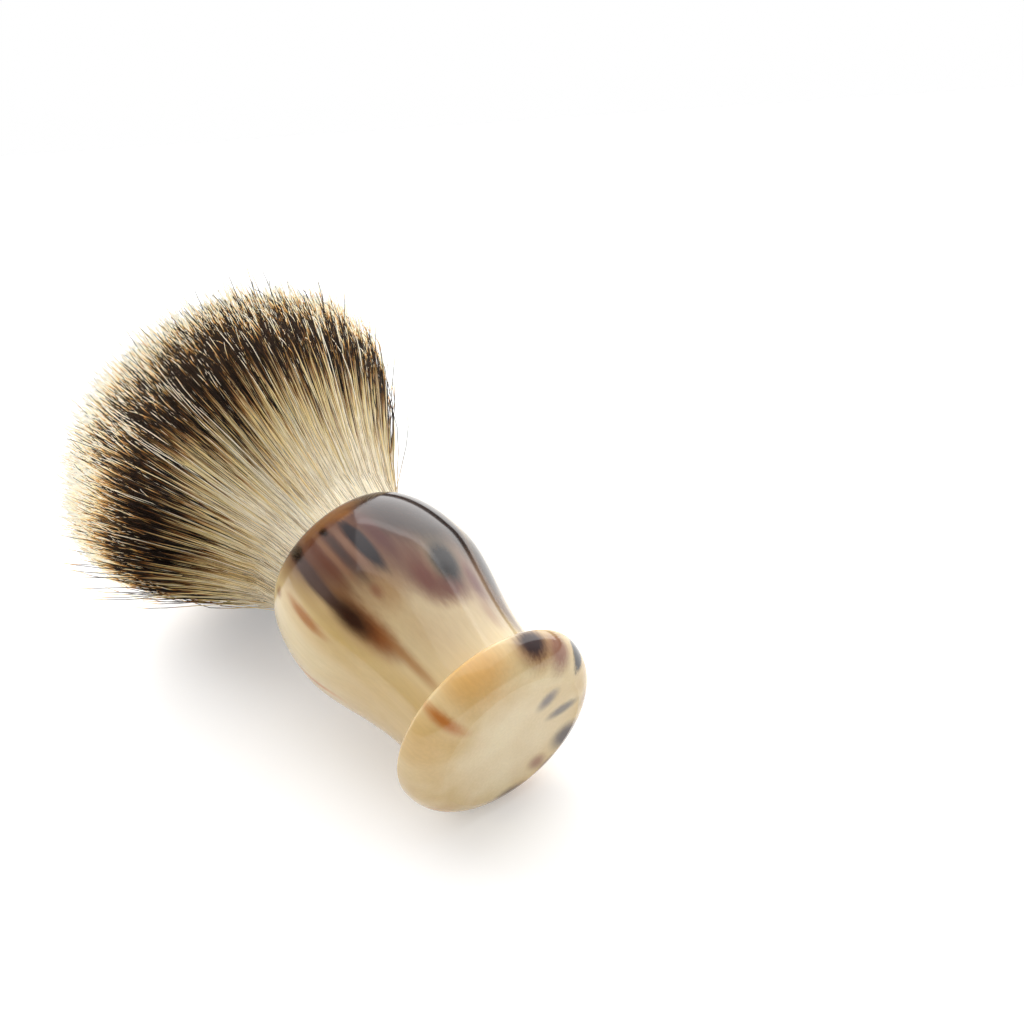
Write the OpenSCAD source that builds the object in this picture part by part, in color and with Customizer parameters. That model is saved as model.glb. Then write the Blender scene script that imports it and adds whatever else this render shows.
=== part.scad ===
// Shaving brush with a turned horn handle and a glued hair knot.
// The brush stands on its base: +Z runs from the base to the hair tips.

/* [Handle] */
// Height of the handle, from its base to the crest of its mouth
handle_h = 46.8; // [44:0.2:70]
// Diameter of the flat face that the brush stands on
base_face_d = 26.8; // [20:0.2:32]
// Largest diameter of the foot
foot_d = 36; // [33:0.5:44]
// Height of the foot's widest line above the base
foot_rim_z = 5.9; // [3:0.1:8]
// Rise of the foot's side next to the base face, which makes a soft crease
foot_crease = 0.7; // [0:0.1:1.5]
// Rise of the foot's shoulder above its widest line
foot_shoulder_h = 1.8; // [1:0.1:3]
// Radius of the hollow corner between foot and waist
waist_fillet = 1; // [0.4:0.1:2]
// Diameter of the waist
waist_d = 26.8; // [20:0.2:29]
// Length over which the waist stays slender
waist_pull = 11.5; // [6:0.5:14]
// Largest diameter of the bulb
bulb_d = 35.4; // [32:0.2:44]
// Height of the bulb's widest line above the base
bulb_z = 33.6; // [28:0.2:36]
// Length over which the bulb stays full below its widest line
bulb_belly = 6.2; // [3:0.2:9]
// Length over which the bulb stays full above its widest line
bulb_shoulder = 8; // [4:0.2:10]

/* [Mouth and socket] */
// Width of the rounded lip, from the mouth's bevel outwards
lip_w = 1.3; // [0.6:0.1:2]
// Depth of the bevel that opens the mouth for the hair
mouth_bevel_h = 3; // [1:0.2:5]
// Width of that bevel
mouth_bevel_w = 1.2; // [0.4:0.1:1.8]
// Depth of the socket below the crest of the mouth
socket_depth = 13.8; // [11:0.2:20]
// Clearance between the knot and the wall of the socket
socket_clearance = 0.2; // [0.1:0.05:0.4]
// Thickness of the cured epoxy under the knot
epoxy_t = 0.6; // [0.3:0.1:1.5]

/* [Knot] */
// Diameter of the knot over its plug and binding
knot_d = 24.8; // [20:0.2:26]
// Height of the resin plug below the hair
plug_h = 5.2; // [3:0.2:8]
// Bevel on the plug's lower edge
plug_bevel = 0.6; // [0.2:0.1:1.2]
// Diameter of the binding thread
thread_d = 0.6; // [0.4:0.05:0.9]
// Turns of binding thread round the roots
thread_turns = 4; // [2:1:6]
// Clearance between the binding and the hair roots
binding_clearance = 0.1; // [0.05:0.05:0.3]

/* [Hair] */
// Rings of strands from the middle of the knot to its edge
hair_rings = 12; // [10:1:12]
// Height of the hair above the crest of the mouth
loft = 53.7; // [44:0.5:65]
// Largest diameter of the opened hair
fan_d = 63.6; // [50:0.5:70]
// Height of the hair's widest line above the crest of the mouth
fan_z = 31; // [24:0.5:36]
// Height above the crest of the mouth where the hair starts to open
fan_start = 3.7; // [2:0.1:6]
// Distance by which a strand at the edge bows outwards below its tip
fan_bow = 0.2; // [0:0.1:1.5]
// Clearance between the hair and the wall of the socket
hair_clearance = 0.3; // [0.2:0.05:0.8]
// Turn of each ring of roots against the ring inside it
ring_turn = 2; // [0:0.5:3]

/* [Hidden] */
$fn = 96;

// Steps along each curved stretch of an outline
curve_steps = 12;
// Share of a quarter circle's radius that makes its Bezier handles
quarter_pull = 0.5523;
// Share of its cell that a strand fills where the hair opens and where it starts to taper
strand_fill_open = 0.85;
strand_fill_taper = 0.76;
// Place where a strand starts to taper, as a share of its open length
strand_taper = 0.7;
// Bevel round the rim of the epoxy bed
epoxy_edge = epoxy_t / 3;

base_r = base_face_d / 2;
foot_r = foot_d / 2;
waist_r = waist_d / 2;
bulb_r = bulb_d / 2;
knot_r = knot_d / 2;
fan_r = fan_d / 2;

foot_top_z = foot_rim_z + foot_shoulder_h;
waist_z = foot_top_z + waist_fillet;
socket_r = knot_r + socket_clearance;
socket_floor_z = handle_h - socket_depth;
mouth_r = socket_r + mouth_bevel_w;

plug_z = socket_floor_z + epoxy_t;
binding_h = thread_d * thread_turns;
root_z = plug_z + plug_h;
root_top_z = root_z + binding_h;
root_r = knot_r - thread_d - binding_clearance;
open_z = handle_h + fan_start;
widest_z = handle_h + fan_z;
tip_z = handle_h + loft;

// Point at share t along a Bezier curve with its handles at b and c
function bezier_point(a, b, c, d, t) =
    a * pow(1 - t, 3) + b * 3 * pow(1 - t, 2) * t + c * 3 * (1 - t) * pow(t, 2) + d * pow(t, 3);

// Points of a Bezier curve without its first one
function bezier(a, b, c, d) =
    [for (i = [1:curve_steps]) bezier_point(a, b, c, d, i / curve_steps)];

// Half outline of the handle, as radius and height
function foot_edge() = let (
    pull_r = quarter_pull * (foot_r - base_r),
    pull_z = quarter_pull * foot_rim_z)
    bezier([base_r, 0], [base_r + pull_r, foot_crease], [foot_r, foot_rim_z - pull_z], [foot_r, foot_rim_z]);

function foot_shoulder() = let (
    inner_r = waist_r + waist_fillet,
    pull_r = quarter_pull * (foot_r - inner_r),
    pull_z = quarter_pull * foot_shoulder_h)
    bezier(
        [foot_r, foot_rim_z],
        [foot_r, foot_rim_z + pull_z],
        [inner_r + pull_r, foot_top_z],
        [inner_r, foot_top_z]);

function waist_corner() = let (inner_r = waist_r + waist_fillet, pull = quarter_pull * waist_fillet)
    bezier(
        [inner_r, foot_top_z],
        [inner_r - pull, foot_top_z],
        [waist_r, waist_z - pull],
        [waist_r, waist_z]);

function bulb_flank() = bezier(
    [waist_r, waist_z],
    [waist_r, waist_z + waist_pull],
    [bulb_r, bulb_z - bulb_belly],
    [bulb_r, bulb_z]);

function bulb_top() = bezier(
    [bulb_r, bulb_z],
    [bulb_r, bulb_z + bulb_shoulder],
    [mouth_r + lip_w, handle_h],
    [mouth_r, handle_h]);

function handle_outline() = concat(
    [[0, 0], [base_r, 0]],
    foot_edge(),
    foot_shoulder(),
    waist_corner(),
    bulb_flank(),
    bulb_top(),
    [[socket_r, handle_h - mouth_bevel_h], [socket_r, socket_floor_z], [0, socket_floor_z]]);

// Corners of the strands' roots: ring k has 6k of them on a circle
function ring_size(k) = max(1, 6 * k);
function ring_start(k) = k == 0 ? 0 : 1 + 3 * k * (k - 1);
function corner_index(k, j) = ring_start(k) + j % ring_size(k);
function corner_angle(k, j) = 360 * j / ring_size(k) + ring_turn * k;
function corner_point(k, j, z) = let (r = root_r * k / hair_rings)
    [r * cos(corner_angle(k, j)), r * sin(corner_angle(k, j)), z];

// Ring, place and sector of each strand, whose root has two corners on ring k and one on the ring inside it
strands = [for (k = [1:hair_rings], j = [0:6 * k - 1]) [k, j, floor(j / k)]];
strand_count = len(strands);
corner_count = ring_start(hair_rings + 1);

function strand_corners(s) = [
    corner_point(s[0], s[1], root_top_z),
    corner_point(s[0], s[1] + 1, root_top_z),
    corner_point(s[0] - 1, s[1] - s[2], root_top_z)];
function strand_root(s) = let (c = strand_corners(s)) (c[0] + c[1] + c[2]) / 3;

// How far the roots' circle has widened where the hair starts to open, and the outermost strand's own root
open_ratio = (socket_r - hair_clearance) / root_r;
edge_root_r = root_r * (1 - 1 / (3 * hair_rings));

// A strand's middle where the hair opens, and its tip on the dome, in even steps from top to edge
function strand_open(s) = let (m = strand_root(s) * open_ratio) [m.x, m.y, open_z];
function strand_tip(s) = let (
    m = strand_root(s),
    lean = 90 * min(1, norm([m.x, m.y]) / edge_root_r),
    out = [m.x, m.y] / norm([m.x, m.y]) * fan_r * sin(lean))
    [out.x, out.y, widest_z + (tip_z - widest_z) * cos(lean)];

// Its middle where it starts to taper, pushed out by the bow of the hair
function strand_bend(s) = let (
    low = strand_open(s),
    bend = low + (strand_tip(s) - low) * strand_taper,
    share = norm([low.x, low.y]) / (socket_r - hair_clearance),
    push = 1 + fan_bow * pow(share, 2) / norm([bend.x, bend.y]))
    [bend.x * push, bend.y * push, bend.z];

// Its three corners about a middle: the root's own corners, opened as far as that middle has moved out
function strand_ring(s, middle, fill) = let (
    m = strand_root(s),
    size = fill * norm([middle.x, middle.y]) / norm([m.x, m.y]))
    [for (p = strand_corners(s)) [
        middle.x + (p.x - m.x) * size,
        middle.y + (p.y - m.y) * size,
        middle.z]];

function strand_points(s) = concat(
    strand_ring(s, strand_open(s), strand_fill_open),
    strand_ring(s, strand_bend(s), strand_fill_taper),
    [strand_tip(s)]);

function hair_points() = concat(
    [[0, 0, root_top_z]],
    [for (k = [1:hair_rings], j = [0:6 * k - 1]) corner_point(k, j, root_top_z)],
    [for (j = [0:6 * hair_rings - 1]) corner_point(hair_rings, j, root_z)],
    [for (s = strands) each strand_points(s)]);

// Two triangles of a strand's side between corners a, b below and c, d above
function side_faces(a, b, c, d) = [[a, c, b], [b, c, d]];

function strand_faces(i) = let (
    s = strands[i],
    low = [corner_index(s[0], s[1]), corner_index(s[0], s[1] + 1), corner_index(s[0] - 1, s[1] - s[2])],
    first = corner_count + 6 * hair_rings + 7 * i,
    open = [first, first + 1, first + 2],
    taper = [first + 3, first + 4, first + 5],
    tip = first + 6)
    [for (e = [0:2]) let (n = (e + 1) % 3) each concat(
        side_faces(low[e], low[n], open[e], open[n]),
        side_faces(open[e], open[n], taper[e], taper[n]),
        [[taper[e], tip, taper[n]]])];

// Resin that shows between the roots: corners with two on the inner ring and one on ring k
function slice_top_faces() = [for (k = [2:hair_rings], sector = [0:5], j = [0:k - 2]) [
    corner_index(k, sector * k + j + 1),
    corner_index(k - 1, sector * (k - 1) + j),
    corner_index(k - 1, sector * (k - 1) + j + 1)]];

function slice_side_faces() = let (n = 6 * hair_rings) [for (j = [0:n - 1]) each side_faces(
    corner_count + j,
    corner_count + (j + 1) % n,
    corner_index(hair_rings, j),
    corner_index(hair_rings, j + 1))];

function slice_base_faces() = let (n = 6 * hair_rings)
    [for (j = [1:n - 2]) [corner_count, corner_count + j, corner_count + j + 1]];

module handle() {
    color("#cdb98c") rotate_extrude() polygon(handle_outline());
}

module epoxy_bed() {
    color("#d9cfae") translate([0, 0, socket_floor_z]) {
        cylinder(h = epoxy_t - epoxy_edge, r = knot_r);
        translate([0, 0, epoxy_t - epoxy_edge])
            cylinder(h = epoxy_edge, r1 = knot_r, r2 = knot_r - epoxy_edge);
    }
}

module knot_plug() {
    color("#b8a678") translate([0, 0, plug_z]) {
        cylinder(h = plug_bevel, r1 = knot_r - plug_bevel, r2 = knot_r);
        translate([0, 0, plug_bevel]) cylinder(h = plug_h - plug_bevel, r = knot_r);
    }
}

// The thread lies in closed turns, stuck together by the resin
module knot_binding() {
    thread_r = thread_d / 2;
    color("#efe9da") rotate_extrude() translate([knot_r - thread_r, root_z]) {
        translate([-thread_r, 0]) square([thread_r, binding_h]);
        for (turn = [0:thread_turns - 1])
            translate([0, thread_d * (turn + 0.5)]) circle(r = thread_r, $fn = 24);
    }
}

module knot_hair() {
    color("#6b5a43") polyhedron(
        points = hair_points(),
        faces = concat(
            [for (i = [0:strand_count - 1]) each strand_faces(i)],
            slice_top_faces(),
            slice_side_faces(),
            slice_base_faces()));
}

handle();
epoxy_bed();
knot_plug();
knot_binding();
knot_hair();
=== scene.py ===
import math

import bmesh
import bpy
import numpy as np
from mathutils import Matrix, Vector
from mathutils.geometry import interpolate_bezier
from mathutils.kdtree import KDTree


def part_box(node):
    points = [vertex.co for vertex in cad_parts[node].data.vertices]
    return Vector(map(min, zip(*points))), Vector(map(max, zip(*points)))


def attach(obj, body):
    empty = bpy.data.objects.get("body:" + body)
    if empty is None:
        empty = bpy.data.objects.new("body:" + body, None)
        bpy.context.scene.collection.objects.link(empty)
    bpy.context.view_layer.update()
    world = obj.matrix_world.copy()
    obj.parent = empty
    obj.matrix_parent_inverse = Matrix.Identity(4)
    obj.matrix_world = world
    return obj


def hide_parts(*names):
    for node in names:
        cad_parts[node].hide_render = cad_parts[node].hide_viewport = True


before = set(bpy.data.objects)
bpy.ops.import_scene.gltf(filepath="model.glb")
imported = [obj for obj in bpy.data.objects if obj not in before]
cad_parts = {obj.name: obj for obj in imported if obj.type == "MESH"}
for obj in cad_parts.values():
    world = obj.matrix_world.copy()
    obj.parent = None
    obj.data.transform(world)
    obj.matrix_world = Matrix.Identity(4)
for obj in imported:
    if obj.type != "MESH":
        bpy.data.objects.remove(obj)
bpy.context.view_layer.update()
mm = 0.001
scene = bpy.context.scene
scene.view_settings.view_transform = "Standard"


def linearColour(hexCode):
    # sRGB hex to linear
    channels = [int(hexCode[i : i + 2], 16) / 255 for i in (1, 3, 5)]
    return [c / 12.92 if c <= 0.04045 else ((c + 0.055) / 1.055) ** 2.4 for c in channels] + [1.0]


def perSize(*sizes):
    return [1 / (size * mm) for size in sizes]  # pattern scale from sizes in mm


def addNode(tree, kind, inputs=None, **settings):
    node = tree.nodes.new("ShaderNode" + kind)
    for name, value in settings.items():
        setattr(node, name, value)
    for name, value in (inputs or {}).items():
        if isinstance(value, bpy.types.NodeSocket):
            tree.links.new(value, node.inputs[name])
        else:
            node.inputs[name].default_value = value
    return node


def newMaterial(name):
    material = bpy.data.materials.new(name)
    material.use_nodes = True
    material.node_tree.nodes.clear()
    return material, material.node_tree


def toOutput(tree, shader):
    addNode(tree, "OutputMaterial", {"Surface": shader})


def around(angle, radius, height):
    turn = math.radians(angle)
    return Vector((radius * math.cos(turn), radius * math.sin(turn), height)) * mm


def linkedObject(name, data):
    made = bpy.data.objects.new(name, data)
    scene.collection.objects.link(made)
    return made


def meshFrom(name, shape):
    mesh = bpy.data.meshes.new(name)
    shape.to_mesh(mesh)
    shape.free()
    return mesh


def axesAt(place, *axes):
    # the matrix of a thing at that place, with these x, y and z axes
    return Matrix.Translation(place) @ Matrix(axes).transposed().to_4x4()


# sizes that the pieces share, in mm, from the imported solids
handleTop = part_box("handle")[1].z / mm
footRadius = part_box("handle")[1].x / mm
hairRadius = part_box("knot_hair")[1].x / mm
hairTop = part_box("knot_hair")[1].z / mm


hornLook = {
    "pale": "#D6C296",
    "straw": "#CDB383",
    "honey": "#C2A56C",
    "toneStops": (0.3, 0.48, 0.66),  # where the clouds are honey, straw and pale
    "cloudWidth": 9,  # mm, soft patches of tone
    "cloudLength": 45,
    "fibreWidth": 0.5,  # mm, growth fibres along the horn
    "fibreLength": 20,
    "fibreRange": (0.3, 0.7),  # most of the fibre noise lies between these
    "fibreTone": (0.95, 1.02),  # how far the fibres darken and lighten the horn
    "fray": (0.5, 0.5, 1.6),  # mm, how far the fibres pull the edge of a streak, across and along
    "roughness": 0.1,
    "ior": 1.5,
    "glow": 0.15,  # share of the light that comes back from inside
    "glowColour": (1.0, 0.6, 0.3),
    "glowDepth": 2,  # mm
}

# degrees round the axis, mm from the axis, mm high, half sizes in mm (radial, around, along),
# softness of the edge, strength, colour
hornStreaks = [
    (0, 0, 0, (10, 10, 4), 0.5, 0.55, "#E6D8B8"),  # end grain of the base face, paler in the middle: partly its own colour, partly a painted reflection of the floor
    (-60, 17, 4, (5, 5.6, 3.4), 0.8, 0.58, "#DDA458"),  # amber foot
    (-104, 17, 3, (5, 6, 3.4), 0.8, 0.4, "#D9AF6C"),
    (-58, 13, 44, (9, 11.5, 19.5), 0.27, 0.95, "#5C362B"),  # brown and dark shoulders of the bulb
    (-8, 15, 33, (7, 5.5, 10), 0.6, 0.85, "#553C32"),
    (-3, 15.5, 22, (5, 5, 9), 0.7, 0.8, "#6E5044"),
    (-22, 15, 38.5, (8, 7.6, 10.5), 0.4, 0.96, "#2E201C"),
    # greyish wash on the lower bulb and waist: partly the horn's tone, partly a painted reflection of the
    # white floor
    (-45, 14, 18, (5, 10, 9), 0.8, 0.6, "#AA9478"),
    (-44, 17, 28.5, (5, 3.6, 5), 0.7, 0.75, "#643E34"),
    (-66, 17, 26.5, (4, 3, 3), 0.8, 0.45, "#A07A50"),
    (-84, 17, 34, (4, 1.1, 9), 0.6, 0.7, "#5E3A28"),  # long dark streak with its rust tail
    (-88, 16.2, 26, (4, 2.5, 6), 0.8, 0.65, "#845226"),
    (-86.5, 15.5, 22.5, (4, 1.8, 4.8), 0.8, 0.9, "#7A4016"),
    (-83.5, 14, 15, (3, 0.8, 6), 0.9, 0.7, "#94602F"),
    (-90, 17, 37, (4, 1.25, 9.5), 0.4, 0.95, "#4A3731"),
    (-89.5, 16.6, 27.5, (4, 1.7, 4.2), 0.75, 1, "#321A0C"),
    (-89, 16, 44.4, (3, 1.2, 2), 0.6, 1, "#1C120D"),
    (-79, 17.2, 38.5, (3, 0.8, 8), 0.8, 0.85, "#5A2E18"),
    (-74, 17.2, 38, (3, 0.5, 6), 0.8, 0.6, "#8A6448"),
    (-69, 17.2, 37, (3, 0.8, 6.6), 0.8, 0.85, "#40322E"),  # slate bars
    (-69, 16.4, 42.8, (2, 0.6, 1.1), 0.6, 0.95, "#22130A"),
    (-64, 17.3, 36, (3, 0.6, 6), 0.8, 0.5, "#8E6E5A"),
    (-58, 17.4, 36, (4, 1.2, 6.4), 0.35, 0.98, "#231D20"),
    (-48.5, 17.4, 36, (4, 1.1, 5), 0.7, 0.85, "#522A26"),
    (-62, 15.4, 45.2, (3, 5.5, 1.5), 0.6, 0.75, "#7C5029"),  # amber lip
    (-54, 16.4, 43.2, (2, 1.6, 0.8), 0.8, 0.5, "#93602F"),
    (-42, 16.2, 24.5, (4, 2, 4), 0.8, 0.9, "#602C22"),  # dark patch with a wine fringe
    (-30, 15.7, 22, (4, 3.4, 3), 0.7, 0.94, "#5A2618"),
    (-25, 16.6, 26.2, (5, 2.5, 3.9), 0.45, 1, "#191313"),
    (-12, 15.7, 22, (4, 1.2, 3.6), 0.8, 0.9, "#602E24"),  # dark lines at the side
    (-16, 14.4, 15.5, (3, 0.9, 2.5), 0.9, 0.5, "#8E6448"),
    (-3, 17, 34, (4, 2, 8), 0.5, 0.97, "#241813"),
    (4, 15.5, 19, (4, 1.5, 9), 0.7, 0.92, "#5C4430"),
    (11, 16.6, 26, (4, 2.3, 7), 0.5, 0.97, "#221A18"),
    (-109, 17.5, 35, (3, 0.9, 4.8), 0.6, 1, "#A0661C"),  # orange fleck
    (-116, 16.3, 43.6, (2, 0.8, 1.1), 0.8, 0.75, "#8E6238"),
    (-100, 17.5, 34, (3, 0.8, 7), 0.9, 0.35, "#A88A58"),
    (-69, 16.8, 27.6, (3, 0.8, 1.3), 0.8, 0.6, "#7A4A38"),
    (-89.5, 16.6, 2.8, (4, 1, 3.4), 0.8, 0.9, "#AE6420"),  # flecks of the foot
    (-89.5, 16, 7.5, (3, 0.8, 0.6), 0.8, 0.6, "#A8703C"),
    (-24, 17.4, 3.6, (4, 3.3, 3), 0.6, 0.8, "#7A4630"),
    (-24, 17.6, 4.2, (4, 2.4, 2.3), 0.5, 0.98, "#2C1A1C"),
    (-6, 16.8, 2.6, (4, 2.4, 2.8), 0.6, 0.92, "#885846"),
    (14, 17, 3, (4, 1.8, 2.6), 0.3, 1, "#120E0C"),
    (5, 9, 0, (2, 1.3, 4), 0.7, 0.85, "#6E6668"),  # flecks of the base face
    (39, 10, 0, (2.6, 1.1, 4), 0.6, 0.85, "#66605F"),
    (76, 13, 0, (2.6, 2.7, 3), 0.6, 0.94, "#463C40"),
    (48, 15.6, 0.8, (1.4, 2, 2), 0.8, 0.7, "#8A6450"),
    (106, 11, 0, (1.6, 1.4, 3), 0.8, 0.8, "#8A5A44"),
    (102, 14.6, 0, (1.4, 3.4, 3), 0.6, 0.85, "#4A3B40"),
    (135, 13.8, 0, (1.2, 3, 2), 0.8, 0.8, "#4A3B40"),
    (44, 16, 33, (5, 3.4, 13), 0.6, 0.85, "#4E3428"),  # the far side goes on the same way
    (38, 16.4, 30, (4, 1.3, 8), 0.5, 0.95, "#241813"),
    (62, 16.6, 37, (4, 1.2, 8), 0.7, 0.85, "#5A2E18"),
    (84, 16.4, 41, (4, 2.6, 5), 0.7, 0.8, "#7A563E"),
    (84, 16.6, 39, (4, 0.9, 5), 0.5, 0.95, "#272124"),
    (112, 15.5, 23, (4, 1.6, 6), 0.8, 0.75, "#7A4018"),
    (118, 13, 44, (8, 9, 13), 0.5, 0.7, "#7E5C42"),
    (104, 17.2, 38, (3, 0.7, 6), 0.8, 0.8, "#4A3731"),
    (128, 17, 39, (3, 0.9, 6), 0.8, 0.8, "#3A2820"),
    (136, 17.2, 33, (3, 0.5, 7), 0.9, 0.6, "#7A4E2C"),
    (152, 17, 34, (4, 1, 8), 0.7, 0.85, "#4A3020"),
    (160, 16.8, 41, (4, 1.4, 4), 0.7, 0.7, "#6A483C"),
    (-148, 16.8, 31, (3, 0.6, 5), 0.8, 0.8, "#B8702E"),
    (-172, 17, 3, (4, 2.2, 2.4), 0.8, 0.6, "#B8803C"),
    (58, 17, 3.5, (4, 1.6, 2.4), 0.5, 0.9, "#3A2420"),
    (120, 17, 4, (5, 4, 3), 0.8, 0.6, "#E3AC66"),
]


def hornMaterial(look, streaks):
    # polished horn: cream and translucent, soft dark streaks along the grain, high gloss
    material, tree = newMaterial("polishedHorn")
    place = addNode(tree, "TexCoord").outputs["Object"]
    alongGrain = perSize(look["cloudWidth"], look["cloudWidth"], look["cloudLength"])
    clouds = addNode(tree, "Mapping", {"Vector": place, "Scale": alongGrain})
    cloud = addNode(tree, "TexNoise", {"Vector": clouds.outputs[0], "Scale": 1.0, "Detail": 2.0})
    alongFibre = perSize(look["fibreWidth"], look["fibreWidth"], look["fibreLength"])
    fibres = addNode(tree, "Mapping", {"Vector": place, "Scale": alongFibre})
    fibre = addNode(tree, "TexNoise", {"Vector": fibres.outputs[0], "Scale": 1.0, "Detail": 3.0})

    honeyAt, strawAt, paleAt = look["toneStops"]
    ground = addNode(tree, "ValToRGB", {"Fac": cloud.outputs["Fac"]})
    ramp = ground.color_ramp
    ramp.elements[0].position = honeyAt
    ramp.elements[0].color = linearColour(look["honey"])
    ramp.elements[1].position = paleAt
    ramp.elements[1].color = linearColour(look["pale"])
    ramp.elements.new(strawAt).color = linearColour(look["straw"])

    # the fibres shift the place that the streaks are looked up at
    centred = addNode(
        tree, "VectorMath", {0: fibre.outputs["Color"], 1: (0.5, 0.5, 0.5)}, operation="SUBTRACT"
    )
    pulled = addNode(
        tree,
        "VectorMath",
        {0: centred.outputs[0], 1: [pull * mm for pull in look["fray"]], 2: place},
        operation="MULTIPLY_ADD",
    )
    colour = ground.outputs["Color"]
    for angle, radius, height, halfSizes, softness, strength, hexCode in streaks:
        local = addNode(
            tree,
            "Mapping",
            {
                "Vector": pulled.outputs[0],
                "Location": around(angle, radius, height),
                "Rotation": (0, 0, math.radians(angle)),
                "Scale": [half * mm for half in halfSizes],
            },
            vector_type="TEXTURE",
        )
        reach = addNode(tree, "VectorMath", {0: local.outputs[0]}, operation="LENGTH")
        cover = addNode(
            tree,
            "MapRange",
            {
                "Value": reach.outputs["Value"],
                "From Min": 1 + softness,
                "From Max": 1 - softness,
                "To Min": 0.0,
                "To Max": strength,
            },
            interpolation_type="SMOOTHSTEP",
        )
        mixed = addNode(
            tree,
            "MixRGB",
            {"Fac": cover.outputs["Result"], "Color1": colour, "Color2": linearColour(hexCode)},
        )
        colour = mixed.outputs["Color"]

    # fine fibres lighten and darken the whole
    low, high = look["fibreRange"]
    dark, light = look["fibreTone"]
    tone = addNode(
        tree,
        "MapRange",
        {"Value": fibre.outputs["Fac"], "From Min": low, "From Max": high, "To Min": dark, "To Max": light},
    )
    toned = addNode(tree, "VectorMath", {0: colour, "Scale": tone.outputs["Result"]}, operation="SCALE")
    surface = addNode(
        tree,
        "BsdfPrincipled",
        {
            "Base Color": toned.outputs[0],
            "Roughness": look["roughness"],
            "IOR": look["ior"],
            "Subsurface Weight": look["glow"],
            "Subsurface Radius": look["glowColour"],
            "Subsurface Scale": look["glowDepth"] * mm,
        },
    )
    toOutput(tree, surface.outputs[0])
    return material


turnedHandle = {  # sizes in mm
    "baseRadius": 13.4,
    "footCrease": 0.7,  # rise of the side next to the base face
    "footRimHeight": 5.9,
    "footShoulder": 1.8,
    "waistFillet": 1.0,
    "waistRadius": 13.4,
    "waistPull": 11.5,  # how long the waist runs straight up
    "bulbRadius": 17.7,
    "bulbHeight": 33.6,
    "bulbBelly": 6.2,  # how full the bulb is under its widest place
    "bulbShoulder": 8.0,  # and over it
    "lipRadius": 13.8,
    "lipCrown": 1.3,  # how flat the bulb ends at the lip
    "boreRadius": 12.6,
    "boreFloor": 33.0,
    "bevelHeight": 3.0,
    "curveSteps": 20,
    "turnSteps": 144,
    "sharpAngle": 12,  # degrees, edges that turn more stay sharp
    "weld": 0.001,
}
quarterPull = 0.5523  # share of the way to the corner that makes a cubic curve a quarter circle


def quarterTurn(start, corner, end):
    # one quarter of an ellipse from start to end, tangent to the sides of its corner
    return [start, start.lerp(corner, quarterPull), end.lerp(corner, quarterPull), end]


def point(radius, height):
    return Vector((radius, 0, height))


def turnedProfile(cut):
    # half of the handle's outline, from the middle of the base to the floor of the bore
    footTop = cut["footRimHeight"] + cut["footShoulder"]
    waistHeight = footTop + cut["waistFillet"]
    filletRadius = cut["waistRadius"] + cut["waistFillet"]
    rim = point(footRadius, cut["footRimHeight"])
    waist = point(cut["waistRadius"], waistHeight)
    bulb = point(cut["bulbRadius"], cut["bulbHeight"])
    lip = point(cut["lipRadius"], handleTop)
    foot = quarterTurn(point(cut["baseRadius"], 0), point(footRadius, 0), rim)
    foot[1].z = cut["footCrease"]
    curves = [
        foot,
        quarterTurn(rim, point(footRadius, footTop), point(filletRadius, footTop)),
        quarterTurn(point(filletRadius, footTop), point(cut["waistRadius"], footTop), waist),
        [waist, waist + point(0, cut["waistPull"]), bulb - point(0, cut["bulbBelly"]), bulb],
        [bulb, bulb + point(0, cut["bulbShoulder"]), lip + point(cut["lipCrown"], 0), lip],
    ]
    outline = [point(0, 0), point(cut["baseRadius"], 0)]
    for curve in curves:
        outline += interpolate_bezier(*curve, cut["curveSteps"])[1:]
    outline += [point(cut["boreRadius"], handleTop - cut["bevelHeight"])]
    outline += [point(cut["boreRadius"], cut["boreFloor"]), point(0, cut["boreFloor"])]
    return outline


def makeHandle(cut, material):
    shape = bmesh.new()
    corners = [shape.verts.new(place * mm) for place in turnedProfile(cut)]
    edges = [shape.edges.new(pair) for pair in zip(corners, corners[1:])]
    bmesh.ops.spin(
        shape,
        geom=corners + edges,
        cent=(0, 0, 0),
        axis=(0, 0, 1),
        angle=math.tau,
        steps=cut["turnSteps"],
        use_merge=True,
    )
    bmesh.ops.remove_doubles(shape, verts=shape.verts, dist=cut["weld"] * mm)
    bmesh.ops.recalc_face_normals(shape, faces=shape.faces)
    for face in shape.faces:
        face.smooth = True
    for edge in shape.edges:
        edge.smooth = edge.calc_face_angle(0) < math.radians(cut["sharpAngle"])
    mesh = meshFrom("horn_handle", shape)
    mesh.materials.append(material)
    handle = linkedObject("horn_handle", mesh)
    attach(handle, "root")
    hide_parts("handle")


makeHandle(turnedHandle, hornMaterial(hornLook, hornStreaks))
print("handle turned from horn")


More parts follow.
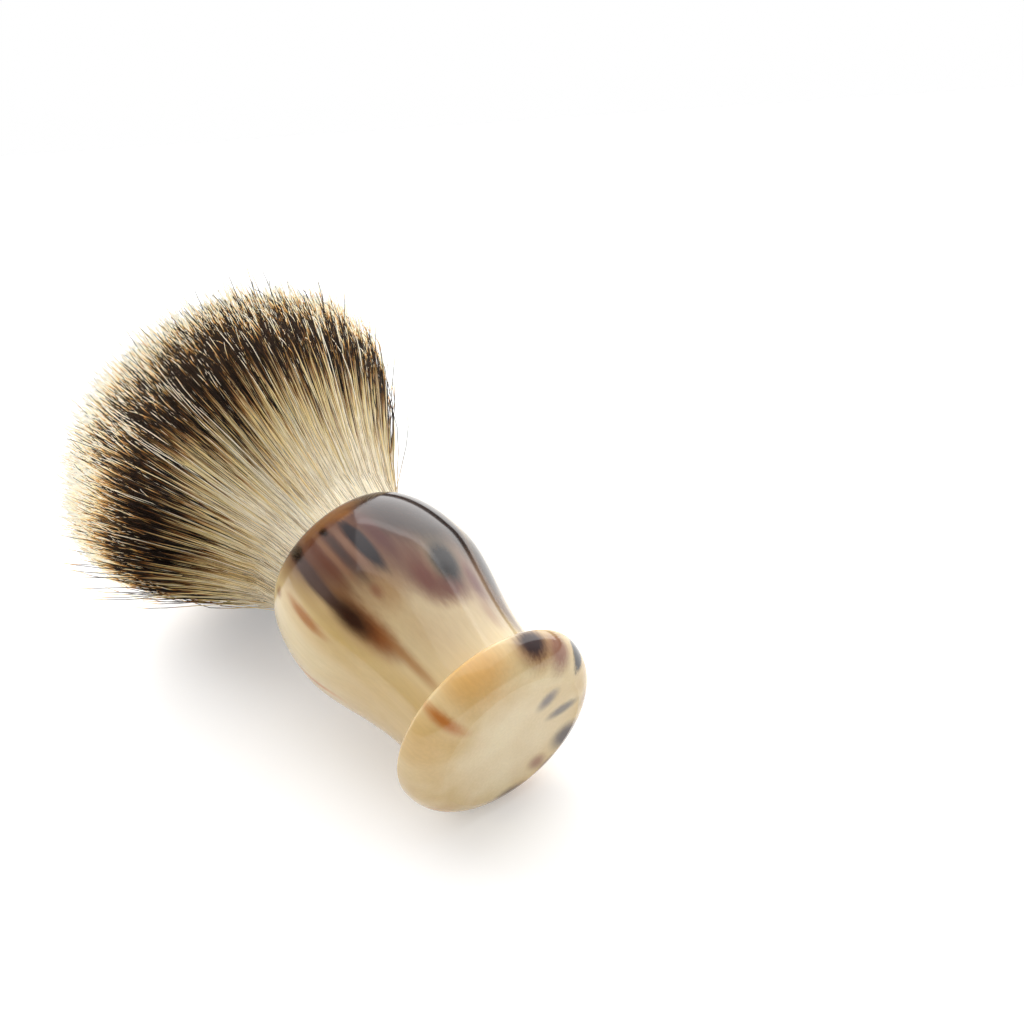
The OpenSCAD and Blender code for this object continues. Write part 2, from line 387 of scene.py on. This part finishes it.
hairLook = {
    "tip": "#FFF1D4",
    "tipEnd": "#FFE0A8",
    "tipFringe": "#CE9048",
    "band": "#17110E",
    "rootFringe": "#7C4E28",
    "middle": "#EBC686",
    "root": "#FFE9C6",
    "brown": "#9A7040",
    "tipClear": 0.9,  # mm from the tip on the map, as are the next seven
    "tipTinted": 2.34,
    "tipLength": 3.6,
    "bandStart": 5.2,
    "bandFade": 14.0,
    "bandEnd": 16.5,
    "middleStart": 21.0,
    "rootStart": 34.0,
    "wander": 12.0,  # mm, how far the end of the band shifts from hair to hair
    "wanderStart": 5.0,  # mm from the tip
    "paleShare": 0.03,  # hairs with hardly any band
    "brownShare": 0.06,  # hairs that are brown from the root
    "darkShare": 0.32,  # hairs of a darker tone: partly their own colour, partly painted shade between the hairs
    "darkBlur": 0.15,  # how gently the shades turn to the darker tone
    "darkTone": 0.44,
    "roughness": 0.5,
    "ior": 1.55,
    "specular": 0.08,  # thin hair mirrors little
    "glow": 0.8,  # light shines through thin hair
    "glowColour": (1.0, 0.9, 0.75),
    "glowDepth": 0.3,  # mm
    "kinds": 64,  # shades of hair
    "mapLength": 66.0,  # mm of hair that the map's height stands for
}


def hairMaterial(look):
    # banded animal hair: cream, a dark band, a pale tip, a soft satin sheen
    material, tree = newMaterial("bandedHair")
    hairMap = addNode(tree, "UVMap", uv_map="hairMap")
    split = addNode(tree, "SeparateXYZ", {0: hairMap.outputs["UV"]})
    kindWide = addNode(tree, "Math", {0: split.outputs["X"], 1: look["kinds"]}, operation="MULTIPLY")
    kind = addNode(tree, "Math", {0: kindWide.outputs[0]}, operation="FLOOR")
    chance = addNode(tree, "TexWhiteNoise", {"W": kind.outputs[0]}, noise_dimensions="1D")
    chances = addNode(tree, "SeparateColor", {0: chance.outputs["Color"]})
    shift = addNode(
        tree,
        "MapRange",
        {"Value": chances.outputs[0], "To Min": -look["wander"] / 2, "To Max": look["wander"] / 2},
    )
    length = look["mapLength"]
    fromTip = addNode(
        tree,
        "MapRange",
        {"Value": split.outputs["Y"], "From Min": 1.0, "From Max": 0.0, "To Min": 0.0, "To Max": length},
    )
    growth = addNode(
        tree,
        "MapRange",
        {"Value": fromTip.outputs[0], "From Min": look["wanderStart"], "From Max": look["bandEnd"]},
    )
    grown = addNode(
        tree,
        "Math",
        {0: shift.outputs[0], 1: growth.outputs[0], 2: fromTip.outputs[0]},
        operation="MULTIPLY_ADD",
    )
    scaled = addNode(tree, "Math", {0: grown.outputs[0], 1: length}, operation="DIVIDE")
    stops = [
        (0, "tip"),
        (look["tipClear"], "tip"),
        (look["tipTinted"], "tipEnd"),
        (look["tipLength"], "tipFringe"),
        (look["bandStart"], "band"),
        (look["bandFade"], "band"),
        (look["bandEnd"], "rootFringe"),
        (look["middleStart"], "middle"),
        (look["rootStart"], "root"),
    ]
    bands = addNode(tree, "ValToRGB", {"Fac": scaled.outputs[0]})
    ramp = bands.color_ramp
    for element in ramp.elements:
        element.color = linearColour(look["root"])
    ramp.elements[1].position = 1
    for distance, name in stops:
        stop = ramp.elements.new(distance / length) if distance else ramp.elements[0]
        stop.color = linearColour(look[name])
    isPale = addNode(tree, "Math", {0: chances.outputs[1], 1: look["paleShare"]}, operation="LESS_THAN")
    paled = addNode(
        tree,
        "MixRGB",
        {"Fac": isPale.outputs[0], "Color1": bands.outputs["Color"], "Color2": linearColour(look["root"])},
    )
    isBrown = addNode(
        tree, "Math", {0: chances.outputs[1], 1: 1 - look["brownShare"]}, operation="GREATER_THAN"
    )
    browned = addNode(
        tree,
        "MixRGB",
        {"Fac": isBrown.outputs[0], "Color1": paled.outputs["Color"], "Color2": linearColour(look["brown"])},
        blend_type="DARKEN",
    )
    # from the band down, some hairs turn darker: partly their own tone, partly painted shade between the
    # hairs
    darkFrom = 1 - look["darkShare"]
    deep = addNode(
        tree,
        "MapRange",
        {
            "Value": chances.outputs[2],
            "From Min": darkFrom - look["darkBlur"],
            "From Max": darkFrom + look["darkBlur"],
        },
        interpolation_type="SMOOTHSTEP",
    )
    dim = addNode(tree, "Math", {0: deep.outputs[0], 1: growth.outputs[0]}, operation="MULTIPLY")
    tone = addNode(tree, "MapRange", {"Value": dim.outputs[0], "To Min": 1.0, "To Max": look["darkTone"]})
    toned = addNode(tree, "VectorMath", {0: browned.outputs[0], "Scale": tone.outputs[0]}, operation="SCALE")
    surface = addNode(
        tree,
        "BsdfPrincipled",
        {
            "Base Color": toned.outputs[0],
            "Roughness": look["roughness"],
            "IOR": look["ior"],
            "Specular IOR Level": look["specular"],
            "Subsurface Weight": look["glow"],
            "Subsurface Radius": look["glowColour"],
            "Subsurface Scale": look["glowDepth"] * mm,
        },
    )
    toOutput(tree, surface.outputs[0])
    return material


hairKnot = {
    "count": 26000,
    "pieces": 8,
    "seed": 7,
    "rootRadius": 12.2,  # mm
    "rootHeight": 43.5,
    "openHeight": 56.5,  # the hair runs straight up towards this height and then fans out
    "rimHeight": 79.2,
    "tipInset": (1.5, 1.2),  # mm from the outline of the solid, at the rim and at the top
    "bow": 3.6,  # mm, how far the outer hairs bulge
    "bowAt": 0.7,  # share of the way from the opening to the tip
    "lean": (-0.051, -0.018),  # mm sideways for each mm above the handle
    "sides": 3,  # of one hair
    "points": 8,  # along one hair
    "pointSpacing": 1.6,  # over 1 sets the points closer towards the tip
    "radius": [(0, 0.072), (0.5, 0.08), (0.85, 0.064), (1, 0.055)],  # share of the length, mm
    "weld": 0.0001,  # mm
    "lengthScatter": 0.025,  # share of a hair's length
    "shortHairs": (0.12, 4),  # share that the shortest are shorter by, and how rare they are
    "locks": 520,
    "lockPull": 0.12,  # share of the way to the middle of the lock
    "tufts": 3200,
    "tuftPull": 0.35,
    "tipScatter": 1.0,  # mm
    "wave": (0.7, 0.9),  # mm that a hair strays from its neighbours, low and high
    "strayShare": 0.012,
    "strayScatter": 3.0,  # mm
    "splayFrom": 0.93,  # share of the radius that the edge starts at
    "splayShare": 0.035,  # hairs of the edge that stand off
    "splay": 0.16,  # share of the radius, at most
    "ruffledSide": (-2.7, 8, 0.8),  # a side is: radians round the axis, narrowness, amount
    "tuftShade": 0.2,  # hairs that have the shade of their tuft
    "tuftBand": 1.6,  # mm, how far the band shifts from tuft to tuft
    "bandWaves": [(1.2, 3, 1), (0.8, 7, 0)],  # mm, waves in one turn, radians
    "bandCut": 1.2,  # mm that the band is shorter all round
    "wideBandSide": (-1.85, 3, 4.5),  # mm that it is longer by
    "narrowBandSide": (-3.05, 6, 5),  # mm that it is shorter by
    "bandRise": (4.8, 12.8),  # mm from the tip, where these shifts start and are full
    "paleTip": (19, 3.5),  # mm, length of the pale tip in the middle and at the edge
    "paleTipFall": 4,  # how soon it gets short towards the edge
    "paleTipVaries": (0.6, 0.8),  # least share of that length, and how much more by chance
    "shortTipSide": (-0.45, 0.5, 1.7),  # mm that it is shorter by
    "darkTipShare": 0.86,  # hairs whose band runs out over the tip, on one side of the rim
    "darkTipRim": (0.73, 0.93),  # share of the radius where they start and are most
    "darkTipSide": -1.05,  # radians round the axis
    "darkTipFade": 2.2,  # how fast they end on both sides
    "darkTipReach": 1.6,  # mm beyond the pale tip, where these hairs end
    "shading": 2,  # pieces that shade; the others let light through, as thin hair does
    "shadingHair": (0.42, 0.06),  # share of hairs that shade, in the middle and at the edge
    "shadingSide": (2.4, 1, 0.3),  # more of them on the side that lies on the floor
    "shadingLength": 0.86,  # these are the short hairs inside the knot
}


def domePoint(knot, spread, angle):
    # where a hair of that place in the knot ends: even steps over the dome
    polar = spread * math.pi / 2
    rimInset, topInset = knot["tipInset"]
    radius = (hairRadius - rimInset) * np.sin(polar)
    height = knot["rimHeight"] + (hairTop - topInset - knot["rimHeight"]) * np.cos(polar)
    return np.stack([radius * np.cos(angle), radius * np.sin(angle), height], axis=-1)


def nearestCentre(centres, places):
    tree = KDTree(len(centres))
    for index, (x, y) in enumerate(centres):
        tree.insert((x, y, 0), index)
    tree.balance()
    return np.array([tree.find((x, y, 0))[1] for x, y in places])


def discPlaces(chance, count):
    spread = np.sqrt(chance.random(count))
    angle = chance.random(count) * math.tau
    return spread, angle, np.stack([spread * np.cos(angle), spread * np.sin(angle)], axis=-1)


def facing(angle, side):
    # how much a place round the knot faces that side
    direction, narrowness, amount = side
    return amount * np.clip(np.cos(angle - direction), 0, 1) ** narrowness


def hairPaths(knot):
    chance = np.random.default_rng(knot["seed"])
    count = knot["count"]
    spread, angle, flat = discPlaces(chance, count)
    roots = np.insert(flat * knot["rootRadius"], 2, knot["rootHeight"], axis=1)
    opening = np.insert(flat * knot["rootRadius"], 2, knot["openHeight"], axis=1)
    lowWave, highWave = knot["wave"]
    opening += chance.normal(size=opening.shape) * lowWave

    # the tips lean towards the middle of their lock and of their tuft
    tips = domePoint(knot, spread, angle)
    pull = np.zeros_like(tips)
    for groups, strength in (("locks", "lockPull"), ("tufts", "tuftPull")):
        groupSpread, groupAngle, centres = discPlaces(chance, knot[groups])
        tuft = nearestCentre(centres, flat)
        share = knot[strength] * (0.5 + chance.random((count, 1)))  # from half to one and a half of it
        pull += (domePoint(knot, groupSpread, groupAngle)[tuft] - tips) * share
    tips = tips + pull

    isStray = chance.random((count, 1)) < knot["strayShare"]
    scatter = np.where(isStray, knot["strayScatter"], knot["tipScatter"])
    tips += chance.normal(size=tips.shape) * scatter
    ruffled = 1 + facing(angle, knot["ruffledSide"])
    splayed = (spread > knot["splayFrom"]) & (chance.random(count) < knot["splayShare"] * ruffled)
    tips[:, :2] *= 1 + (splayed * chance.random(count) * knot["splay"] * ruffled**0.5)[:, None]
    shorter, rareness = knot["shortHairs"]
    length = 1 + chance.normal(size=(count, 1)) * knot["lengthScatter"]
    length = length - shorter * chance.random((count, 1)) ** rareness
    tips = roots + (tips - roots) * length

    # each hair is a cubic curve from its root by the opening and the bulge to its tip
    side = chance.normal(size=tips.shape) * highWave * (1 + scatter)
    bulge = opening + (tips - opening) * knot["bowAt"] + side
    bulge[:, :2] += flat * spread[:, None] * knot["bow"]
    step = 1 - (1 - np.linspace(0, 1, knot["points"])[None, :, None]) ** knot["pointSpacing"]
    paths = roots[:, None] * (1 - step) ** 3 + opening[:, None] * 3 * step * (1 - step) ** 2
    paths += bulge[:, None] * 3 * step**2 * (1 - step) + tips[:, None] * step**3
    above = np.maximum(paths[..., 2:] - handleTop, 0)
    paths[..., :2] += above * np.array(knot["lean"])
    return paths, spread, angle, tuft, chance


def hairKinds(knot, look, tuft, chance):
    kinds = chance.integers(0, look["kinds"], len(tuft))
    tuftKinds = chance.integers(0, look["kinds"], knot["tufts"])
    return np.where(chance.random(len(tuft)) < knot["tuftShade"], tuftKinds[tuft], kinds)


def bandShift(knot, angle, tuft, chance):
    # mm, how far the end of the band wanders; more makes the band shorter
    shift = sum(height * np.sin(waves * angle + phase) for height, waves, phase in knot["bandWaves"])
    shift += (chance.normal(size=knot["tufts"]) * knot["tuftBand"])[tuft]
    shift += knot["bandCut"] - facing(angle, knot["wideBandSide"])
    return shift + facing(angle, knot["narrowBandSide"])


def paleTips(knot, spread, angle, chance):
    # mm, long in the middle of the knot, short at its edge and shortest on one side
    middleTip, edgeTip = knot["paleTip"]
    pale = edgeTip + (middleTip - edgeTip) * (1 - spread**2) ** knot["paleTipFall"]
    pale -= facing(angle, knot["shortTipSide"])
    least, more = knot["paleTipVaries"]
    return pale * (least + more * chance.random(len(spread)))


def darkTips(knot, spread, angle, pale, chance):
    # a pale tip under 0 mm stands for a hair that ends inside its band
    rim = np.interp(spread, knot["darkTipRim"], (0, 1))
    side = np.clip(1 - knot["darkTipFade"] * (1 - np.cos(angle - knot["darkTipSide"])), 0, 1)
    isDark = chance.random(len(spread)) < knot["darkTipShare"] * rim * side
    return np.where(isDark, -knot["darkTipReach"], pale)


def shadingHairs(knot, spread, angle, chance):
    middleShare, edgeShare = knot["shadingHair"]
    share = middleShare + (edgeShare - middleShare) * spread**2
    share += facing(angle, knot["shadingSide"]) * spread**2
    return chance.random(len(spread)) < share


def hairSection(sides):
    polygon = bpy.data.curves.new("hairSection", "CURVE")
    outline = polygon.splines.new("POLY")
    outline.points.add(sides - 1)
    for corner, place in enumerate(outline.points):
        place.co = (*around(360 * corner / sides, 1, 0), 1)
    outline.use_cyclic_u = True
    return linkedObject("hairSection", polygon)


def sweptHair(name, knot, section, paths):
    # one closed tapering tube along each path
    curve = bpy.data.curves.new("hairCurve", "CURVE")
    curve.dimensions = "3D"
    curve.bevel_mode = "OBJECT"
    curve.bevel_object = section
    curve.use_fill_caps = True
    shares, radii = zip(*knot["radius"])
    taper = np.interp(np.linspace(0, 1, knot["points"]), shares, radii)
    for path in paths:
        spline = curve.splines.new("POLY")
        spline.points.add(knot["points"] - 1)
        spline.points.foreach_set("co", np.insert(path * mm, 3, 1, axis=1).ravel())
        spline.points.foreach_set("radius", taper)
    strands = linkedObject("hairCurve", curve)
    mesh = bpy.data.meshes.new_from_object(strands.evaluated_get(bpy.context.evaluated_depsgraph_get()))
    bpy.data.objects.remove(strands)
    mesh.name = name
    return mesh


def mapHair(mesh, knot, look, paths, kinds, shift, pale):
    # across the map: the kind of hair; up the map: how far a point is from the hair's tip
    sides = knot["sides"]
    ring = knot["points"] * sides
    caps = len(paths) * 2 * sides  # the mesh starts with the closed ends, last hair first
    steps = np.linalg.norm(np.diff(paths, axis=1), axis=2)
    fromTip = np.concatenate([np.cumsum(steps[:, ::-1], axis=1)[:, ::-1], np.zeros((len(paths), 1))], axis=1)
    tip = pale[:, None]
    stretch = np.where(tip < 0, 1, np.minimum(fromTip / np.abs(tip), 1))
    mapped = fromTip + (look["tipLength"] - tip) * stretch
    mapped += shift[:, None] * np.interp(fromTip, knot["bandRise"], (0, 1))
    up = np.clip(1 - mapped / look["mapLength"], 0, 1)
    corners = np.empty(len(mesh.loops), dtype=np.int32)
    mesh.loops.foreach_get("vertex_index", corners)
    isCap = corners < caps
    hair = np.where(isCap, len(paths) - 1 - corners // (2 * sides), (corners - caps) // ring)
    capPoint = np.where(corners % (2 * sides) < sides, knot["points"] - 1, 0)
    place = np.where(isCap, capPoint, (corners - caps) % ring // sides)
    inStrip = 0.1 + 0.4 * (corners % sides)  # the sides of a hair lie apart in the strip of its kind
    spots = np.stack([(kinds[hair] + inStrip) / look["kinds"], up[hair, place]], axis=1)
    while mesh.uv_layers:
        mesh.uv_layers.remove(mesh.uv_layers[0])
    for name in ("hairMap", "OFBake"):
        mesh.uv_layers.new(name=name).uv.foreach_set("vector", spots.ravel().astype(np.float32))


def weldEnds(mesh, distance):
    shape = bmesh.new()
    shape.from_mesh(mesh)
    bmesh.ops.remove_doubles(shape, verts=shape.verts, dist=distance)
    shape.to_mesh(mesh)
    shape.free()


def makeHair(knot, look, material):
    paths, spread, angle, tuft, chance = hairPaths(knot)
    kinds = hairKinds(knot, look, tuft, chance)
    shift = bandShift(knot, angle, tuft, chance)
    pale = paleTips(knot, spread, angle, chance)
    shades = shadingHairs(knot, spread, angle, chance)
    shaded = paths[shades]
    paths[shades] = shaded[:, :1] + (shaded - shaded[:, :1]) * knot["shadingLength"]
    pieceOf = np.where(
        shades,
        chance.integers(0, knot["shading"], len(paths)),
        chance.integers(knot["shading"], knot["pieces"], len(paths)),
    )
    pale = darkTips(knot, spread, angle, pale, chance)
    section = hairSection(knot["sides"])
    for piece in range(knot["pieces"]):
        chosen = np.flatnonzero(pieceOf == piece)
        mesh = sweptHair(f"knot_hair_{piece + 1}", knot, section, paths[chosen])
        mapHair(mesh, knot, look, paths[chosen], kinds[chosen], shift[chosen], pale[chosen])
        weldEnds(mesh, knot["weld"] * mm)
        mesh.materials.clear()
        mesh.materials.append(material)
        mesh.shade_smooth()
        lock = linkedObject(mesh.name, mesh)
        lock.visible_shadow = lock.visible_diffuse = piece < knot["shading"]
        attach(lock, "root")
        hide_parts("knot_hair")
    bpy.data.objects.remove(section)


makeHair(hairKnot, hairLook, hairMaterial(hairLook))
print("hair set in the knot")


insideLook = {  # material, light and dark colour, roughness, mm of one speck
    "epoxy_bed": ("curedEpoxy", "#D9CFAE", "#C9BC94", 0.15, 1.5),
    "knot_plug": ("castResin", "#B8A678", "#A4905F", 0.5, 3.0),
    "knot_binding": ("waxedThread", "#F0E8D9", "#D8CDB8", 0.7, 0.25),
}


def insideMaterial(name, light, dark, roughness, speck):
    # pieces that the handle hides: clear epoxy, matt cast resin, waxed thread
    material, tree = newMaterial(name)
    place = addNode(tree, "TexCoord").outputs["Object"]
    spots = addNode(tree, "Mapping", {"Vector": place, "Scale": perSize(speck, speck, speck)})
    noise = addNode(tree, "TexNoise", {"Vector": spots.outputs[0], "Scale": 1.0, "Detail": 2.0})
    mixed = addNode(
        tree,
        "MixRGB",
        {"Fac": noise.outputs["Fac"], "Color1": linearColour(light), "Color2": linearColour(dark)},
    )
    surface = addNode(tree, "BsdfPrincipled", {"Base Color": mixed.outputs[0], "Roughness": roughness})
    toOutput(tree, surface.outputs[0])
    return material


for node, (name, light, dark, roughness, speck) in insideLook.items():
    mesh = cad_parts[node].data
    mesh.materials.clear()
    mesh.materials.append(insideMaterial(name, light, dark, roughness, speck))
print("pieces inside the socket finished")


studio = {
    "upSide": -43.0,  # degrees round the axis, the side of the brush that faces up from the floor
    "floorSize": 2.0,  # m
    "floorBehind": 0.22,  # m from the foot to the far edge
    "floorColour": "#E9E8E7",
    "floorLift": 0.25,  # what the camera sees of the floor beyond its own shade
    "fill": 0.77,
    "frontRoom": 0.1,  # brightness that polished horn mirrors, in front and behind
    "backRoom": 0.8,
    "wallFade": (-0.2, 0.4),  # where front turns to back, as a cosine from straight ahead
    "floorFade": (-0.06, 0.0),  # and the same from straight up
    "softboxes": [  # degrees right of the view and over the floor, m away, m wide, m high, watts, mirrored
        ("backPanel", 18, 26, 0.9, 1.0, 0.9, 6.0, True),
        ("overhead", 20, 75, 0.9, 1.0, 1.0, 2.8, True),
        ("leftPanel", -36, 36, 0.9, 1.0, 0.9, 5.8, False),
    ],
}
photoView = {
    "place": (127.6, -350.5, -192.8),  # mm
    "aim": (24.77, 6.27, 29.97),
    "fieldOfView": 22.0,  # degrees
    "rightSide": (0.5870, 0.5437, -0.5998),  # direction that runs to the right in the picture
    "clipStart": 10,  # mm
}


def floorPlane(settings, knot, cut):
    # the brush lies on the rim of its foot and on its hair
    slope = math.atan2(hairRadius - footRadius, knot["rimHeight"] - cut["footRimHeight"])
    normal = around(settings["upSide"], 1, math.tan(slope)).normalized()
    drop = max(place.x * math.cos(slope) - place.z * math.sin(slope) for place in turnedProfile(cut)) * mm
    return normal, drop


def shownRays(tree):
    # rays that end in the eye: straight, mirrored or through glass
    path = addNode(tree, "LightPath")
    shown = path.outputs["Is Camera Ray"]
    for kind in ("Is Glossy Ray", "Is Transmission Ray"):
        shown = addNode(tree, "Math", {0: shown, 1: path.outputs[kind]}, operation="MAXIMUM").outputs[0]
    return shown, path.outputs["Is Glossy Ray"]


def levelAxes(view, normal):
    # on the floor: away from the camera, and to the right of its view
    forward = (Vector(view["aim"]) - Vector(view["place"])).normalized()
    away = (forward - normal * forward.dot(normal)).normalized()
    return away, away.cross(normal)


def makeFloor(settings, view, normal, drop):
    away, right = levelAxes(view, normal)
    half = settings["floorSize"] / 2
    shape = bmesh.new()
    bmesh.ops.create_grid(shape, x_segments=1, y_segments=1, size=half)
    centre = away * (settings["floorBehind"] - half) - normal * drop
    bmesh.ops.transform(shape, matrix=axesAt(centre, right, away, normal), verts=shape.verts)
    mesh = meshFrom("floor", shape)
    material, tree = newMaterial("paperSweep")  # matt white paper, open from behind
    shown = shownRays(tree)[0]
    lift = addNode(tree, "Math", {0: shown, 1: settings["floorLift"]}, operation="MULTIPLY")
    paper = addNode(tree, "BsdfDiffuse", {"Color": linearColour(settings["floorColour"])})
    glow = addNode(tree, "Emission", {"Strength": lift.outputs[0]})
    front = addNode(tree, "AddShader", {0: paper.outputs[0], 1: glow.outputs[0]})
    behind = addNode(tree, "NewGeometry").outputs["Backfacing"]
    clear = addNode(tree, "BsdfTransparent", {"Color": (1, 1, 1, 1)})
    both = addNode(tree, "MixShader", {0: behind, 1: front.outputs[0], 2: clear.outputs[0]})
    toOutput(tree, both.outputs[0])
    mesh.materials.append(material)
    floor = linkedObject("floor", mesh)


def makeLight(settings, view, normal):
    away, right = levelAxes(view, normal)
    world = bpy.data.worlds.new("whiteStudio")
    scene.world = world
    world.use_nodes = True
    tree = world.node_tree
    tree.nodes.clear()
    shown, glossy = shownRays(tree)
    direction = addNode(tree, "TexCoord").outputs["Generated"]
    walls = []
    for axis, (dark, light) in ((away, settings["wallFade"]), (normal, settings["floorFade"])):
        along = addNode(tree, "VectorMath", {0: direction, 1: axis}, operation="DOT_PRODUCT")
        wall = addNode(
            tree,
            "MapRange",
            {
                "Value": along.outputs["Value"],
                "From Min": dark,
                "From Max": light,
                "To Min": settings["frontRoom"],
                "To Max": settings["backRoom"],
            },
        )
        walls.append(wall.outputs[0])
    room = addNode(tree, "Math", {0: walls[0], 1: walls[1]}, operation="MINIMUM")
    backdrop = addNode(tree, "MapRange", {"Value": glossy, "To Min": 1.0, "To Max": room.outputs[0]})
    strength = addNode(
        tree, "MapRange", {"Value": shown, "To Min": settings["fill"], "To Max": backdrop.outputs[0]}
    )
    sky = addNode(tree, "Background", {"Color": (1, 1, 1, 1), "Strength": strength.outputs[0]})
    addNode(tree, "OutputWorld", {"Surface": sky.outputs[0]})

    for name, bearing, rise, distance, width, height, watts, mirrored in settings["softboxes"]:
        level = away * math.cos(math.radians(bearing)) + right * math.sin(math.radians(bearing))
        toLamp = level * math.cos(math.radians(rise)) + normal * math.sin(math.radians(rise))
        across = toLamp.cross(normal).normalized()
        lamp = bpy.data.lights.new(name, "AREA")
        lamp.shape = "RECTANGLE"
        lamp.size = width
        lamp.size_y = height
        lamp.energy = watts
        softbox = linkedObject(name, lamp)
        softbox.visible_glossy = mirrored
        place = Vector(view["aim"]) * mm + toLamp * distance
        softbox.matrix_world = axesAt(place, across, toLamp.cross(across), toLamp)


def makeCamera(view):
    place = Vector(view["place"]) * mm
    forward = (Vector(view["aim"]) * mm - place).normalized()
    right = Vector(view["rightSide"])
    right = (right - forward * right.dot(forward)).normalized()
    lens = bpy.data.cameras.new("photoCamera")
    lens.angle = math.radians(view["fieldOfView"])
    lens.clip_start = view["clipStart"] * mm
    camera = linkedObject("photoCamera", lens)
    camera.matrix_world = axesAt(place, right, right.cross(forward), -forward)
    scene.camera = camera


floorNormal, floorDrop = floorPlane(studio, hairKnot, turnedHandle)
makeFloor(studio, photoView, floorNormal, floorDrop)
makeLight(studio, photoView, floorNormal)
makeCamera(photoView)
print("floor, light and camera in place")
